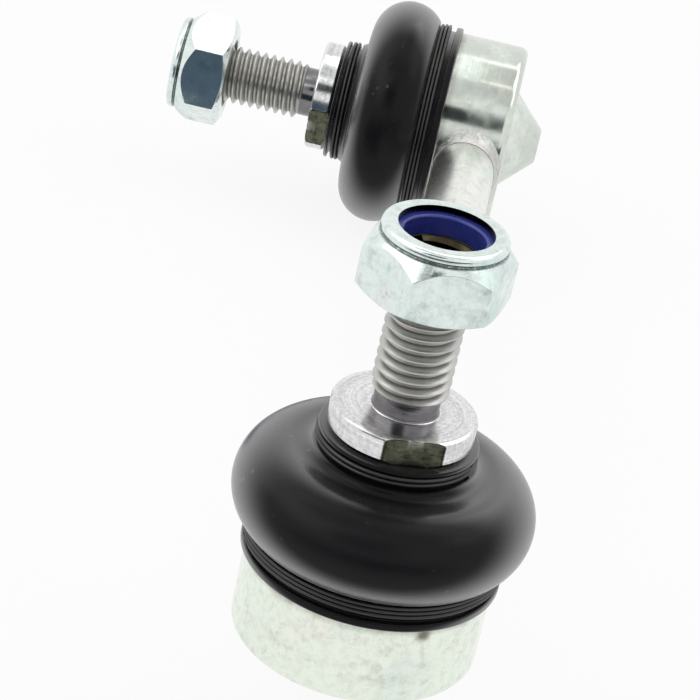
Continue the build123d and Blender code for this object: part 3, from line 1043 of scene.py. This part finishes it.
# %% Cards and floor
def card(name, place, size, aim=None):
    """A flat stage card, facing a point."""
    bpy.ops.object.select_all(action="DESELECT")
    bpy.ops.mesh.primitive_plane_add(size=1, location=place)
    piece = bpy.context.object
    piece.name = name
    piece.scale = (size[0], size[1], 1)
    if aim is not None:
        piece.rotation_euler = (Vector(aim) - Vector(place)).to_track_quat("Z", "Y").to_euler()
    return piece


def card_look(name, colour):
    """A matt card."""
    look, net = new_look(name)
    shader = net.nodes["Principled BSDF"]
    grain = noise(net, add(net, "ShaderNodeTexCoord").outputs["Object"], 30, 3, 0.5, 1.0)
    soft = tuple(channel * 0.96 for channel in colour[:3]) + (1,)
    link(net, mix(net, grain, soft, colour), shader.inputs["Base Color"])
    set_shader(shader, Roughness=0.9)
    return look


FLOOR_HEIGHT = -0.0485
floor = card("floor", (0.1, 0.0, FLOOR_HEIGHT), (6, 6))
floor.data.materials.append(card_look("white_card", (0.92, 0.92, 0.92, 1)))
print("floor ready")

# %% [markdown]
# Photographers shape a shiny thing with dark and pale cards just outside the picture. Six
# cards do this here. A Light Path node lets only glossy rays meet them, so they show in the
# metal, hide nothing and cast no shadow, which a real card could not do. Four are large
# things of the room. Two are small and serve single pieces: low_dark darkens a face of the
# far nut and far_sky takes a white band off the far housing.

# %% Cards that only reflections see
def reflected_card(name, place, size, aim, colour):
    """A card that glossy rays meet and all other rays pass through."""
    piece = card(name, place, size, aim)
    look, net = new_look(name)
    net.nodes.remove(net.nodes["Principled BSDF"])
    grain = noise(net, add(net, "ShaderNodeTexCoord").outputs["Object"], 6, 3, 0.5, 1.0)
    soft = tuple(channel * 0.85 for channel in colour[:3]) + (1,)
    glow = add(net, "ShaderNodeEmission", in_1=1.0)
    link(net, mix(net, grain, soft, colour), glow.inputs[0])
    clear = add(net, "ShaderNodeBsdfTransparent")
    rays = add(net, "ShaderNodeLightPath")
    pick = add(net, "ShaderNodeMixShader")
    link(net, rays.outputs["Is Glossy Ray"], pick.inputs[0])
    link(net, clear.outputs[0], pick.inputs[1])
    link(net, glow.outputs[0], pick.inputs[2])
    link(net, pick.outputs[0], net.nodes["Material Output"].inputs[0])
    piece.data.materials.append(look)
    return piece


part_middle = Vector((0.05, 0.0, 0.0))


def toward(azimuth, elevation, distance):
    """A point seen from the part in a direction, with azimuth 180 towards the camera."""
    turn, lift = math.radians(azimuth), math.radians(elevation)
    way = Vector((math.cos(lift) * math.cos(turn), math.cos(lift) * math.sin(turn), math.sin(lift)))
    return part_middle + way * distance


room_cards = [
    ("edge_of_room", (-0.45, 0.0, 0.012), (1.3, 0.12), (0.05, 0.0, 0.012), (0.045, 0.055, 0.07, 1)),
    ("table_front", (-0.33, 0.0, -0.0470), (0.24, 1.3), None, (0.05, 0.06, 0.07, 1)),
    ("photographer", toward(172, 40.5, 0.85), (0.50, 0.30), part_middle, (0.02, 0.03, 0.03, 1)),
    ("ceiling", (-0.16, 0.0, 0.97), (0.50, 1.3), None, (0.82, 0.83, 0.83, 1)),
]
near_cards = [
    ("low_dark", (0.100, 0.047, -0.0350), (0.060, 0.025), (0.157, 0.047, -0.0350),
     (0.06, 0.10, 0.15, 1)),
    ("far_sky", (0.2075, -0.026, 0.20), (0.125, 0.068), None, (0.78, 0.79, 0.77, 1)),
]
for settings in room_cards + near_cards:
    reflected_card(*settings)
print("cards ready")

# %% [markdown]
# Such photographs are exposed until the table is pure white. A brighter lamp would do that
# here too, but it would wash out the metal. Instead the floor glows for the rays that show
# it and stays a matt card for all others, so the soft shadow remains.

# %% The floor's white
net = floor.data.materials[0].node_tree
seen = looked_at(net)
glow = add(net, "ShaderNodeEmission", in_0=(1, 1, 1, 1), in_1=1.0)
part = add(net, "ShaderNodeMixShader")
GLOW_SHARE = 0.88
link(net, math_node(net, "MULTIPLY", seen, GLOW_SHARE), part.inputs[0])
link(net, net.nodes["Principled BSDF"].outputs[0], part.inputs[1])
link(net, glow.outputs[0], part.inputs[2])
link(net, part.outputs[0], net.nodes["Material Output"].inputs[0])
print("floor glows for the camera, share", GLOW_SHARE)

# %% [markdown]
# Two large soft boxes above the part give the shadow its direction. Small lamps would draw
# hard shadows, and strong ones would add their glare to the white room's, so both are wide
# and weak.

# %% Lamps
def softbox(name, place, size, power, aim=(0.05, 0.0, -0.02)):
    """An area lamp aimed at a point."""
    data = bpy.data.lights.new(name, "AREA")
    data.shape = "RECTANGLE"
    data.size, data.size_y = size
    data.energy = power
    lamp = bpy.data.objects.new(name, data)
    bpy.context.collection.objects.link(lamp)
    lamp.location = place
    lamp.rotation_euler = (Vector(aim) - Vector(place)).to_track_quat("-Z", "Y").to_euler()
    return lamp


SOFTBOX_POWER = 5.0
softbox("key_softbox", (-0.15, 0.75, 0.95), (1.3, 1.1), SOFTBOX_POWER)
softbox("top_softbox", (0.35, -0.45, 1.15), (1.5, 1.2), SOFTBOX_POWER)
print("lamps ready")
